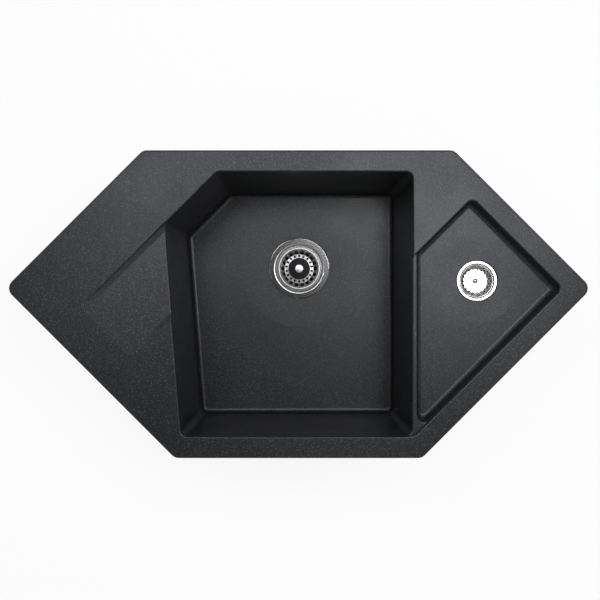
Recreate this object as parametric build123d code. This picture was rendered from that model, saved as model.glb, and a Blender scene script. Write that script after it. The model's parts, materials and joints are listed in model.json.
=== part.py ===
from build123d import *

import os
from dataclasses import dataclass
from math import atan2, cos, radians, sin, sqrt, tan

# Corner kitchen sink, moulded in one piece, with two basket strainer wastes and its worktop
# clips. Millimetres. The origin is the middle of the front edge at worktop level: X runs right,
# Y runs to the back and Z runs up.

# ---- Outline and rim
OVERALL_LENGTH = 940.0  # over the rounded left and right corners
OVERALL_DEPTH = 500.0  # front edge to back edge
BACK_CORNER_RUN = 224.1  # width and depth of the corner that each back diagonal cuts off
OUTLINE_R = 16.0  # rounding of the six outline corners
RIM_H = 10.0  # top of the deck above the worktop
DECK_T = 9.0  # thickness of the deck plate
RIM_EDGE_R = 3.0  # rounding along the outline's top edge
BOWL_EDGE_R = 2.5  # rounding where the deck turns down into a bowl
SEAT_W = 5.0  # lip that stands on the worktop
SEAL_W = 6.0  # foam tape beside the lip

# ---- Both bowls
WALL_T = 8.0  # walls and floors
PAD_T = 4.0  # extra thickness round a drain hole
FLANGE_CLEAR = 1.5  # recess radius over flange radius
TOOL_OVERRUN = 25.0  # how far a cutting solid runs on into open space

# ---- Large bowl
MAIN_FRONT_BORDER = 35.0  # deck in front of the bowl
MAIN_BACK_BORDER = 35.0  # deck behind the bowl
MAIN_RIGHT_BORDER = 35.0  # from the bowl's front right corner to the front diagonal beside it
MAIN_LEFT_BORDER = 32.0  # from the bowl's front left corner to the front diagonal beside it
MAIN_LEFT_SPREAD = 27.5  # how much further out the left rim line is at its back end
MAIN_DIAGONAL_RUN = 85.5  # width and depth of the corner that the diagonal wall cuts off
MAIN_DEPTH = 200.0
MAIN_DRAFT = 3.0  # degrees
MAIN_CORNER_R = 12.0
MAIN_FLOOR_R = 8.0
MAIN_DRAIN_X = 1.0
MAIN_DRAIN_BEHIND = 148.5  # drain centre in front of the back rim line

# ---- Small bowl and the lowered divider
DIVIDER_T = 7.1  # between the two rim lines
SMALL_BORDER = 34.0  # deck between the small bowl and the outline's right-hand diagonals
SMALL_WIDTH = 207.0  # between the two parallel diagonal walls
SMALL_DEPTH = 28.0
SMALL_DRAFT = 5.0  # degrees
SMALL_CORNER_R = 11.0
SMALL_FLOOR_R = 8.0
DIVIDER_DROP = 7.0  # divider top below the deck
GAP_LAP = 1.0  # front end of the gap in the rim behind the large bowl's front rim line
SMALL_DRAIN_IN = 84.7  # drain centre from the back right rim line
SMALL_DRAIN_OFF = 1.1  # and in front of the middle between the two diagonal walls

# ---- Sunken drainboard panel, a ramp that falls towards the large bowl
PANEL_W = 118.2  # over its two parallel sides
PANEL_FALL = 0.0367  # fall per millimetre towards the bowl
PANEL_LENGTH = 191.0  # along its back side, from where it starts to the bowl's corner
PANEL_BACK_OUT = 2.5  # its back side behind the line of the bowl's diagonal wall
PANEL_BACK_SLOPE_W = 10.5  # width of the sloping wall along its back side
PANEL_FRONT_SLOPE_W = 6.5  # width of the sloping wall along its front side
PANEL_STEP_W = 3.2  # width of the steep upper part of the wall along its back side
PANEL_STEP_SHARE = 0.6  # share of the drop that the steep part takes
PANEL_SKIRT = 6.0  # how much wider the matching bulge below the deck is, each side

# ---- Blind tap holes moulded into the underside, opened from above when fitted
TAP_HOLE_D = 35.0
TAP_HOLE_DEPTH = 4.0
TAP_RIGHT_IN = 26.5  # each hole in from its back corner, along the back edge
TAP_LEFT_IN = 24.5
TAP_RIGHT_BORDER = 68.0  # each hole in front of the back edge
TAP_LEFT_BORDER = 54.0

# ---- Worktop clips
WORKTOP_T = 38.0
CUTOUT_MARGIN = 12.0  # cut-out edge inside the sink's outline
BOSS_TO_CUTOUT = 1.5
CLIP_SPREAD = 240.0  # between the two clips on the front edge, and on the back edge
BOSS_R = 7.5
BOSS_L = 15.0
INSERT_R = 4.5
INSERT_L = 13.0
SCREW_R = 3.0
SCREW_TIP_GAP = 1.0  # end of the screw short of the end of its insert
SCREW_HEAD_R = 5.5
SCREW_HEAD_H = 4.0
CLAW_T = 2.5
CLAW_W = 12.0
CLAW_HUB_R = 7.0
CLAW_TIP_W = 2.5
CLAW_TIP_H = 4.5
CLAW_NOTCH_R = 1.5  # between the two teeth of the tip
CLAW_EDGE_GAP = 0.5  # claw tip inside the sink's outline

# ---- Clearances
RUN_CLEAR = 0.05  # radial, between a turning or sliding piece and its pin
SEAT_CLEAR = 0.3  # between faces of pieces that move apart

# ---- Both wastes
SHEET_T = 1.2  # pressed steel of the dishes
CUP_T = 0.8  # pressed steel of the baskets
FLANGE_SEAL_T = 1.5
GASKET_T = 3.0
BODY_T = 3.0  # wall of the plastic waste bodies
BODY_FLANGE_T = 4.0
OUTLET_R = 23.9  # pipe thread G 1 1/2, over the crests
OUTLET_BORE_R = 20.5
OUTLET_L = 22.0
BODY_CONE_SLOPE = 0.6  # fall of the waste body's floor per millimetre of radius
HUB_H = 10.0  # cross that the fixing bolt screws into
RIB_T = 3.0
RIBS = 4
LEDGE_TILT = 0.7  # fall of the ledge that carries the basket's rim
FLANGE_EDGE_R = 0.9  # rounding of the flange's outer edge
DISH_FLOOR_R = 2.5
SEAL_INSET = 0.5  # flange seal inside the flange's edge and outside its bend and the hole
DISH_HOLES = 6
CUP_HOLES = 18
CUP_RIM_CLEAR = 0.8  # basket's rim inside the dish's ledge
CUP_CONE_CLEAR = 0.5  # basket's cone inside the dish's tube

# ---- Large waste
MAIN_FLANGE_D = 113.4
MAIN_HOLE_D = 90.0
MAIN_MOUTH_D = 87.2
MAIN_MOUTH_R = 4.0  # rounding where the flange turns down
MAIN_LEDGE_D = 86.0
MAIN_LEDGE_DROP = 5.4
MAIN_TUBE_D = 74.6
MAIN_DISH_DEPTH = 42.0
MAIN_DISH_HOLE_D = 13.0
MAIN_FALL = 1.2
MAIN_FALL_R = 110.0
MAIN_BODY_D = 83.0
MAIN_BODY_FLANGE_D = 108.0
MAIN_CUP_FLOOR_D = 55.0
MAIN_CUP_DROP = 18.7
MAIN_CUP_DISC_D = 42.0
MAIN_CUP_DISC_RISE = 1.5  # the perforated ring round the disc slopes down by this much
MAIN_KNOB_D = 14.7
MAIN_KNOB_H = 10.0
MAIN_KNOB_DOME_R = 28.0  # radius of its domed top
MAIN_STEM_D = 8.0
MAIN_BOLT_HEAD_D = 17.0
MAIN_BOLT_HEAD_H = 10.5
MAIN_STOPPER_D = 64.0
MAIN_SLOT_L = 6.4  # holes in the basket's cone, along the radius
MAIN_SLOT_W = 7.2
MAIN_SLOT_OUT = 3.4  # their middle outside the edge of the basket's floor
MAIN_PERF_L = 5.0  # smaller holes in the basket's floor, along the radius
MAIN_PERF_W = 4.0

# ---- Small waste
SMALL_FLANGE_D = 67.0
SMALL_HOLE_D = 60.0
SMALL_MOUTH_D = 56.6
SMALL_MOUTH_R = 1.5
SMALL_LEDGE_D = 55.8
SMALL_LEDGE_DROP = 3.8
SMALL_TUBE_D = 53.4
SMALL_DISH_DEPTH = 32.0
SMALL_DISH_HOLE_D = 8.0
SMALL_FALL = 0.8
SMALL_FALL_R = 70.0
SMALL_BODY_D = 56.0
SMALL_BODY_FLANGE_D = 74.0
SMALL_CUP_FLOOR_D = 41.0
SMALL_CUP_DROP = 14.0
SMALL_KNOB_D = 9.0
SMALL_KNOB_H = 4.0
SMALL_KNOB_DOME_R = 6.4
SMALL_STEM_D = 6.0
SMALL_BOLT_HEAD_D = 13.0
SMALL_BOLT_HEAD_H = 8.5
SMALL_STOPPER_D = 41.0
SMALL_SLOT_L = 1.6
SMALL_SLOT_W = 3.0
SMALL_SLOT_OUT = (1.9, 4.2)  # middles of its two rows
SMALL_PERF_R = 1.7
SMALL_PERF_IN = 0.5  # middle of the notches inside the edge of the basket's floor

# ---- Details of the plugs
BUSH_WALL = 3.0
BUSH_H = 2.3
COLLAR_H = 2.0
STOPPER_LIP_W = 3.5
STOPPER_LIP_H = 3.0
STOPPER_OVER_BOLT = 1.2
STOPPER_ROUND_BOLT = 2.0
STOPPER_TOP_W = 5.0
STOPPER_SOFT_R = 1.0
SOCKET_DEPTH = 8.0  # how far the stem reaches into the fixing bolt's head
# Knob shape, each as a share of the knob's height or radius
KNOB_WAIST_H = 0.3
KNOB_SHOULDER_H = 0.5
KNOB_SOFT_R = 0.08
KNOB_SEAT_H = 0.6  # how far the stem reaches into the knob

ROOT2 = sqrt(2)


# ---------------------------------------------------------------- helpers
def shifted(points, distance):
    """A convex, anticlockwise outline with every side moved outwards by distance."""
    moved = []
    for i, (x, y) in enumerate(points):
        (x0, y0), (x2, y2) = points[i - 1], points[(i + 1) % len(points)]
        before, after = atan2(y - y0, x - x0), atan2(y2 - y, x2 - x)
        nx, ny = sin(before) + sin(after), -cos(before) - cos(after)
        k = distance / (1 + cos(after - before))
        moved.append((x + k * nx, y + k * ny))
    return moved


def flat(points, z=0.0):
    """A polygon face at height z."""
    return Plane.XY.offset(z) * make_face(Polyline(*points, close=True))


def rounded_flat(points, radius):
    """A polygon face at z = 0 with all its corners rounded."""
    face = make_face(Polyline(*points, close=True))
    return fillet(face.vertices(), radius)


def drafted(points, top, depth, draft, corner_r, corners=None):
    """A block hanging from height top whose walls lean in, with its upright edges rounded."""
    block = extrude(flat(points, top), depth, dir=(0, 0, -1), taper=draft)
    middle = top - depth / 2
    upright = [e for e in block.edges() if abs(e.center().Z - middle) < depth / 4]
    if corners:
        near = [Vector(x, y, middle) for x, y in corners]
        reach = depth * tan(radians(draft)) + corner_r
        upright = [e for e in upright if min((e.center() - p).length for p in near) < reach]
    return fillet(upright, corner_r)


def bowl_block(points, top, depth, draft, corner_r, floor_r):
    """A drafted block whose bottom edges are rounded too."""
    block = drafted(points, top, depth, draft, corner_r)
    return fillet(block.faces().sort_by(Axis.Z)[0].edges(), floor_r)


def turned(points, radii=0.0):
    """A solid of revolution about Z from a closed (r, z) outline."""
    line = FilletPolyline(*points, radius=radii, close=True)
    return revolve(Plane.XZ * make_face(line), Axis.Z)


def pressed(points, bend_r, thickness):
    """Sheet metal of revolution: its upper face follows (r, z) points from the rim inwards."""
    line = FilletPolyline(*points, radius=bend_r)
    section = make_face(offset(line, thickness, side=Side.LEFT, closed=True))
    return revolve(Plane.XZ * section, Axis.Z)


def tube(outer_r, inner_r, low, high):
    """A plain ring between two heights."""
    return Pos(0, 0, low) * extrude(Circle(outer_r) - Circle(inner_r), high - low)


def rod(radius, low, high):
    """A plain cylinder between two heights."""
    return Pos(0, 0, low) * extrude(Circle(radius), high - low)


def ring_of(shape, radius, count, start=0.0):
    """Copies of a flat shape evenly spaced round a circle and turned with it."""
    return Sketch() + PolarLocations(radius, count, start_angle=start) * shape


# ---------------------------------------------------------------- outline and bowl lines
HALF_L = OVERALL_LENGTH / 2 + OUTLINE_R * (ROOT2 - 1)
HALF_BACK = HALF_L - BACK_CORNER_RUN
SIDE_Y = OVERALL_DEPTH - BACK_CORNER_RUN
HALF_FRONT = HALF_L - SIDE_Y
OUTLINE = [
    (-HALF_FRONT, 0),
    (HALF_FRONT, 0),
    (HALF_L, SIDE_Y),
    (HALF_BACK, OVERALL_DEPTH),
    (-HALF_BACK, OVERALL_DEPTH),
    (-HALF_L, SIDE_Y),
]
UNDERSIDE = RIM_H - DECK_T
CLIP_INSET = CUTOUT_MARGIN + BOSS_TO_CUTOUT + BOSS_R

MAIN_BACK = OVERALL_DEPTH - MAIN_BACK_BORDER
MAIN_RIGHT = HALF_FRONT + MAIN_FRONT_BORDER - MAIN_RIGHT_BORDER * ROOT2
MAIN_LEFT_FRONT = HALF_FRONT + MAIN_FRONT_BORDER - MAIN_LEFT_BORDER * ROOT2
MAIN_LEFT_BACK = MAIN_LEFT_FRONT + MAIN_LEFT_SPREAD
MAIN_CORNER = (-MAIN_LEFT_BACK, MAIN_BACK - MAIN_DIAGONAL_RUN)
MAIN_RIM = [
    (-MAIN_LEFT_FRONT, MAIN_FRONT_BORDER),
    (MAIN_RIGHT, MAIN_FRONT_BORDER),
    (MAIN_RIGHT, MAIN_BACK),
    (-MAIN_LEFT_BACK + MAIN_DIAGONAL_RUN, MAIN_BACK),
    MAIN_CORNER,
]

# Every diagonal line is x + y = a constant or x - y = a constant.
SMALL_LEFT = MAIN_RIGHT + DIVIDER_T
BACK_SUM = HALF_BACK + OVERALL_DEPTH - SMALL_BORDER * ROOT2
FRONT_DIFF = HALF_FRONT - SMALL_BORDER * ROOT2
BACK_DIFF = FRONT_DIFF - SMALL_WIDTH * ROOT2
SMALL_RIM = [
    (SMALL_LEFT, SMALL_LEFT - FRONT_DIFF),
    ((BACK_SUM + FRONT_DIFF) / 2, (BACK_SUM - FRONT_DIFF) / 2),
    ((BACK_SUM + BACK_DIFF) / 2, (BACK_SUM - BACK_DIFF) / 2),
    (SMALL_LEFT, SMALL_LEFT - BACK_DIFF),
]
SMALL_DRAIN_SUM = BACK_SUM - SMALL_DRAIN_IN * ROOT2
SMALL_DRAIN_DIFF = (FRONT_DIFF + BACK_DIFF) / 2 + SMALL_DRAIN_OFF * ROOT2
# The divider is lowered between the small bowl's two parallel diagonals. The front one runs on
# until it meets the large bowl's front rim line.
GAP_X = MAIN_RIGHT - TOOL_OVERRUN
GAP_FRONT = MAIN_FRONT_BORDER + GAP_LAP
GAP_RIM = [
    (GAP_X, GAP_FRONT),
    (FRONT_DIFF + GAP_FRONT, GAP_FRONT),
    SMALL_RIM[1],
    SMALL_RIM[2],
    (GAP_X, GAP_X - BACK_DIFF),
]
TAP_HOLES = [
    (HALF_BACK - TAP_RIGHT_IN, OVERALL_DEPTH - TAP_RIGHT_BORDER),
    (-HALF_BACK + TAP_LEFT_IN, OVERALL_DEPTH - TAP_LEFT_BORDER),
]


@dataclass(frozen=True)
class Waste:
    """One basket strainer waste. Radii and drops, with z = 0 at the flange's upper face."""

    name: str
    x: float
    y: float
    bowl_floor: float
    fall: float
    fall_r: float
    flange_r: float
    hole_r: float
    mouth_r: float
    mouth_bend_r: float
    ledge_r: float
    ledge_drop: float
    tube_r: float
    depth: float
    dish_hole_r: float
    body_r: float
    body_flange_r: float
    cup_floor_r: float
    cup_drop: float
    disc_r: float
    disc_rise: float
    knob_r: float
    knob_h: float
    knob_dome_r: float
    stem_r: float
    bolt_head_r: float
    bolt_head_h: float
    stopper_r: float

    @property
    def top(self):
        """Height of the flange's upper face in the sink."""
        return self.bowl_floor - self.fall

    @property
    def under_sink(self):
        """Underside of the thickened floor, below the flange's upper face."""
        return self.fall - WALL_T - PAD_T

    @property
    def disc_top(self):
        """Upper face of the disc in the middle of the basket."""
        return self.disc_rise - self.cup_drop

    @property
    def collar_top(self):
        """Upper face of the collar that carries the basket on the stem."""
        return self.disc_top - CUP_T - BUSH_H - SEAT_CLEAR

    @property
    def dish_under(self):
        """Underside of the dish's floor."""
        return -self.depth - SHEET_T

    def place(self, shape):
        """Moves a shape from the waste's own frame to its drain."""
        return Pos(self.x, self.y, self.top) * shape


MAIN_WASTE = Waste(
    name="main",
    x=MAIN_DRAIN_X,
    y=MAIN_BACK - MAIN_DRAIN_BEHIND,
    bowl_floor=RIM_H - MAIN_DEPTH,
    fall=MAIN_FALL,
    fall_r=MAIN_FALL_R,
    flange_r=MAIN_FLANGE_D / 2,
    hole_r=MAIN_HOLE_D / 2,
    mouth_r=MAIN_MOUTH_D / 2,
    mouth_bend_r=MAIN_MOUTH_R,
    ledge_r=MAIN_LEDGE_D / 2,
    ledge_drop=MAIN_LEDGE_DROP,
    tube_r=MAIN_TUBE_D / 2,
    depth=MAIN_DISH_DEPTH,
    dish_hole_r=MAIN_DISH_HOLE_D / 2,
    body_r=MAIN_BODY_D / 2,
    body_flange_r=MAIN_BODY_FLANGE_D / 2,
    cup_floor_r=MAIN_CUP_FLOOR_D / 2,
    cup_drop=MAIN_CUP_DROP,
    disc_r=MAIN_CUP_DISC_D / 2,
    disc_rise=MAIN_CUP_DISC_RISE,
    knob_r=MAIN_KNOB_D / 2,
    knob_h=MAIN_KNOB_H,
    knob_dome_r=MAIN_KNOB_DOME_R,
    stem_r=MAIN_STEM_D / 2,
    bolt_head_r=MAIN_BOLT_HEAD_D / 2,
    bolt_head_h=MAIN_BOLT_HEAD_H,
    stopper_r=MAIN_STOPPER_D / 2,
)
SMALL_WASTE = Waste(
    name="small",
    x=(SMALL_DRAIN_SUM + SMALL_DRAIN_DIFF) / 2,
    y=(SMALL_DRAIN_SUM - SMALL_DRAIN_DIFF) / 2,
    bowl_floor=RIM_H - SMALL_DEPTH,
    fall=SMALL_FALL,
    fall_r=SMALL_FALL_R,
    flange_r=SMALL_FLANGE_D / 2,
    hole_r=SMALL_HOLE_D / 2,
    mouth_r=SMALL_MOUTH_D / 2,
    mouth_bend_r=SMALL_MOUTH_R,
    ledge_r=SMALL_LEDGE_D / 2,
    ledge_drop=SMALL_LEDGE_DROP,
    tube_r=SMALL_TUBE_D / 2,
    depth=SMALL_DISH_DEPTH,
    dish_hole_r=SMALL_DISH_HOLE_D / 2,
    body_r=SMALL_BODY_D / 2,
    body_flange_r=SMALL_BODY_FLANGE_D / 2,
    cup_floor_r=SMALL_CUP_FLOOR_D / 2,
    cup_drop=SMALL_CUP_DROP,
    disc_r=0.0,
    disc_rise=0.0,
    knob_r=SMALL_KNOB_D / 2,
    knob_h=SMALL_KNOB_H,
    knob_dome_r=SMALL_KNOB_DOME_R,
    stem_r=SMALL_STEM_D / 2,
    bolt_head_r=SMALL_BOLT_HEAD_D / 2,
    bolt_head_h=SMALL_BOLT_HEAD_H,
    stopper_r=SMALL_STOPPER_D / 2,
)


# ---------------------------------------------------------------- sink body
def on_diagonal(u, v, z):
    """A point from its distances along (u) and across (v) the drainboard panel."""
    return Vector((u + v) / ROOT2, (u - v) / ROOT2, z)


def panel_wedge(top, skirt):
    """The ramp between the drainboard's two lines, hanging from height top."""
    back = (MAIN_CORNER[0] - MAIN_CORNER[1]) / ROOT2 - PANEL_BACK_OUT
    bowl_u = (MAIN_CORNER[0] + MAIN_CORNER[1]) / ROOT2
    u0, u1 = bowl_u - PANEL_LENGTH, bowl_u + MAIN_CORNER_R / 2
    drop = PANEL_FALL * (u1 - u0)
    low = top - drop
    rim_v = (back - skirt, back + PANEL_W + skirt)
    floor_v = (rim_v[0] + PANEL_BACK_SLOPE_W, rim_v[1] - PANEL_FRONT_SLOPE_W)
    step_v, step_low = rim_v[0] + PANEL_STEP_W, top - PANEL_STEP_SHARE * drop
    step = [on_diagonal(u0, step_v, top), on_diagonal(u1, step_v, step_low)]
    start = [on_diagonal(u0, v, top) for v in rim_v]
    end = [on_diagonal(u1, v, top) for v in rim_v]
    floor_start = [on_diagonal(u0, v, top) for v in floor_v]
    floor_end = [on_diagonal(u1, v, low) for v in floor_v]
    polygons = [
        [start[0], step[0], *floor_start, start[1], *end[::-1]],
        [*floor_start, *floor_end[::-1]],
        [*end, *floor_end[::-1], step[1]],
    ]
    faces = [Face(Wire.make_polygon(points, close=True)) for points in polygons]
    rims = [Edge.make_line(*ends) for ends in zip(start, end)]
    floors = [Edge.make_line(*ends) for ends in zip(floor_start, floor_end)]
    kink = Edge.make_line(*step)
    for upper, lower in ((rims[0], kink), (kink, floors[0]), (rims[1], floors[1])):
        faces.append(Face.make_surface_from_curves(upper, lower))
    return Solid(Shell(faces))


def small_bowl_cut():
    """The small bowl and the gap in the rim above it, rounded where the divider turns down."""
    divider_z = RIM_H - DIVIDER_DROP
    below = shifted(SMALL_RIM, -DIVIDER_DROP * tan(radians(SMALL_DRAFT)))
    depth = SMALL_DEPTH - DIVIDER_DROP
    cut = extrude(flat(shifted(SMALL_RIM, TOOL_OVERRUN), divider_z), DIVIDER_DROP)
    cut += bowl_block(below, divider_z, depth, SMALL_DRAFT, SMALL_CORNER_R, SMALL_FLOOR_R)
    slab_under = cut.faces().filter_by(Axis.Z).sort_by(Axis.Z)[-2]
    cut = fillet([e for wire in slab_under.inner_wires() for e in wire.edges()], BOWL_EDGE_R)
    depth = SMALL_DEPTH + WALL_T
    return cut & drafted(GAP_RIM, RIM_H, depth, SMALL_DRAFT, SMALL_CORNER_R, GAP_RIM[1:4])


def divider_middle():
    """A point in the middle of the lowered divider's top."""
    middle_y = (SMALL_RIM[0][1] + SMALL_RIM[3][1]) / 2
    return ((MAIN_RIGHT + SMALL_LEFT) / 2, middle_y, RIM_H - DIVIDER_DROP)


def drain_cut(waste):
    """Shallow fall to the drain, recess for the flange and hole through the floor."""
    recess = -SHEET_T - FLANGE_SEAL_T
    recess_r = waste.flange_r + FLANGE_CLEAR
    profile = [
        (0, waste.fall + SEAT_CLEAR),
        (waste.fall_r, waste.fall + SEAT_CLEAR),
        (waste.fall_r, waste.fall),
        (recess_r, 0),
        (recess_r, recess),
        (waste.hole_r, recess),
        (waste.hole_r, waste.under_sink - PAD_T),
        (0, waste.under_sink - PAD_T),
    ]
    return waste.place(turned(profile))


def clip_spots():
    """(name, x, y, outward angle) of each clip, screw centres CLIP_INSET inside the outline."""
    half = CLIP_SPREAD / 2
    spots = [
        ("front_left", -half, CLIP_INSET, -90),
        ("front_right", half, CLIP_INSET, -90),
        ("back_right", half, OVERALL_DEPTH - CLIP_INSET, 90),
        ("back_left", -half, OVERALL_DEPTH - CLIP_INSET, 90),
    ]
    inset = CLIP_INSET / ROOT2
    front_x, front_y = (HALF_FRONT + HALF_L) / 2, SIDE_Y / 2
    back_x, back_y = (HALF_BACK + HALF_L) / 2, (OVERALL_DEPTH + SIDE_Y) / 2
    spots += [
        ("right_front", front_x - inset, front_y + inset, -45),
        ("right_back", back_x - inset, back_y - inset, 45),
        ("left_back", -back_x + inset, back_y - inset, 135),
        ("left_front", -front_x + inset, front_y + inset, -135),
    ]
    return spots


def sink_body():
    """Deck, both bowls, lowered divider, drainboard panel, drain pads and clip bosses."""
    outline = rounded_flat(OUTLINE, OUTLINE_R)
    body = Pos(0, 0, UNDERSIDE) * extrude(outline, DECK_T)
    body += extrude(outline - offset(outline, -SEAT_W), UNDERSIDE)
    body += bowl_block(
        shifted(MAIN_RIM, WALL_T),
        RIM_H,
        MAIN_DEPTH + WALL_T,
        MAIN_DRAFT,
        MAIN_CORNER_R + WALL_T,
        MAIN_FLOOR_R + WALL_T / 2,
    )
    body += bowl_block(
        shifted(SMALL_RIM, WALL_T),
        RIM_H,
        SMALL_DEPTH + WALL_T,
        SMALL_DRAFT,
        SMALL_CORNER_R + WALL_T,
        SMALL_FLOOR_R + WALL_T / 2,
    )
    body += panel_wedge(UNDERSIDE, PANEL_SKIRT)
    for waste in (MAIN_WASTE, SMALL_WASTE):
        pad_r = waste.flange_r + PAD_T
        body += waste.place(rod(pad_r, waste.under_sink, waste.under_sink + WALL_T))
    for _, x, y, _ in clip_spots():
        body += Pos(x, y, 0) * rod(BOSS_R, UNDERSIDE - BOSS_L, RIM_H - DECK_T / 2)

    body -= bowl_block(MAIN_RIM, RIM_H, MAIN_DEPTH, MAIN_DRAFT, MAIN_CORNER_R, MAIN_FLOOR_R)
    body -= small_bowl_cut()
    divider_top = body.faces().filter_by(Axis.Z).sort_by_distance(divider_middle())[0]
    body = fillet(divider_top.edges().sort_by(SortBy.LENGTH)[-1], BOWL_EDGE_R)
    deck_top = body.faces().sort_by(Axis.Z)[-1]
    rims = [edge for wire in deck_top.inner_wires() for edge in wire.edges()]
    body = fillet(rims, BOWL_EDGE_R)
    deck_top = body.faces().sort_by(Axis.Z)[-1]
    body = fillet(deck_top.outer_wire().edges(), RIM_EDGE_R)

    body -= panel_wedge(RIM_H, 0)
    panel_floor = body.faces().filter_by(GeomType.PLANE).sort_by_distance(panel_middle())[0]
    bowl_side = panel_floor.edges().sort_by(Axis.X)[-1]
    body = fillet(bowl_side, BOWL_EDGE_R)

    for waste in (MAIN_WASTE, SMALL_WASTE):
        body -= drain_cut(waste)
    for _, x, y, _ in clip_spots():
        body -= Pos(x, y, UNDERSIDE - BOSS_L) * rod(INSERT_R, 0, INSERT_L)
    for x, y in TAP_HOLES:
        body -= Pos(x, y, UNDERSIDE) * rod(TAP_HOLE_D / 2, -TOOL_OVERRUN, TAP_HOLE_DEPTH)
    return body


def panel_middle():
    """A point in the middle of the drainboard panel's floor."""
    across = (MAIN_CORNER[0] - MAIN_CORNER[1]) / ROOT2 + PANEL_W / 2
    along = (MAIN_CORNER[0] + MAIN_CORNER[1]) / ROOT2 - PANEL_LENGTH / 2
    return on_diagonal(along, across, RIM_H - PANEL_FALL * PANEL_LENGTH / 2)


def rim_seal():
    """Foam tape that fills the step under the deck, just inside the lip."""
    outline = rounded_flat(OUTLINE, OUTLINE_R)
    ring = offset(outline, -SEAT_W) - offset(outline, -SEAT_W - SEAL_W)
    return extrude(ring, UNDERSIDE)


# ---------------------------------------------------------------- wastes
def dish(waste):
    """Pressed flange and dish: a sloping throat, a ledge for the basket and a holed floor."""
    ledge_z = -waste.ledge_drop
    path = [
        (waste.flange_r, 0),
        (waste.mouth_r, 0),
        (waste.ledge_r, ledge_z),
        (waste.tube_r, ledge_z - LEDGE_TILT),
        (waste.tube_r, -waste.depth),
        (SCREW_R + RUN_CLEAR, -waste.depth),
    ]
    bends = [waste.mouth_bend_r, SHEET_T / 2, SHEET_T * 1.25, DISH_FLOOR_R]
    shell = pressed(path, bends, SHEET_T)
    rim = shell.faces().sort_by(Axis.Z)[-1].outer_wire()
    shell = fillet(rim.edges(), FLANGE_EDGE_R)
    hole_pitch_r = (waste.bolt_head_r + waste.stopper_r - STOPPER_LIP_W) / 2
    holes = ring_of(Circle(waste.dish_hole_r), hole_pitch_r, DISH_HOLES)
    return shell - Pos(0, 0, waste.dish_under) * extrude(holes, SHEET_T, both=True)


def flange_seal(waste):
    """Flat rubber ring between the flange and the recess in the bowl's floor."""
    return tube(
        waste.flange_r - SEAL_INSET,
        max(waste.hole_r, waste.mouth_r + waste.mouth_bend_r) + SEAL_INSET,
        -SHEET_T - FLANGE_SEAL_T,
        -SHEET_T,
    )


def gasket(waste):
    """Thick rubber ring between the bowl's underside and the waste body."""
    return tube(
        waste.body_flange_r,
        waste.hole_r + FLANGE_CLEAR / 2,
        waste.under_sink - GASKET_T,
        waste.under_sink,
    )


def waste_body(waste):
    """Plastic cup with its clamping flange, a cross for the bolt and the threaded outlet."""
    top = waste.under_sink - GASKET_T
    wall_end = waste.dish_under - HUB_H
    cone_h = (waste.body_r - OUTLET_BORE_R) * BODY_CONE_SLOPE
    end = wall_end - cone_h - OUTLET_L
    inner, outer = waste.body_r, waste.body_r + BODY_T
    profile = [
        (waste.body_flange_r, top),
        (inner, top),
        (inner, wall_end),
        (OUTLET_BORE_R, wall_end - cone_h),
        (OUTLET_BORE_R, end),
        (OUTLET_R, end),
        (OUTLET_R, wall_end - cone_h - BODY_T / 2),
        (outer, wall_end - BODY_T / 2),
        (outer, top - BODY_FLANGE_T),
        (waste.body_flange_r, top - BODY_FLANGE_T),
    ]
    body = turned(profile)
    body += rod(waste.bolt_head_r, wall_end, waste.dish_under)
    rib = Rectangle(2 * inner + BODY_T, RIB_T)
    for turn in range(RIBS // 2):
        body += Pos(0, 0, wall_end) * extrude(Rot(0, 0, turn * 360 / RIBS) * rib, HUB_H - RIB_T)
    return body - rod(SCREW_R + RUN_CLEAR, end, 0)


def fixing_bolt(waste):
    """Bolt that pulls the waste body up to the dish, with a socket that guides the stem."""
    head_top = waste.bolt_head_h - waste.depth
    bolt = rod(waste.bolt_head_r, -waste.depth, head_top)
    bolt = fillet(bolt.edges().group_by(Axis.Z)[-1], SHEET_T)
    bolt += rod(SCREW_R, waste.dish_under - HUB_H + RIB_T / 2, -waste.depth)
    return bolt - rod(waste.stem_r + RUN_CLEAR, head_top - SOCKET_DEPTH - SEAT_CLEAR, head_top)


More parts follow.
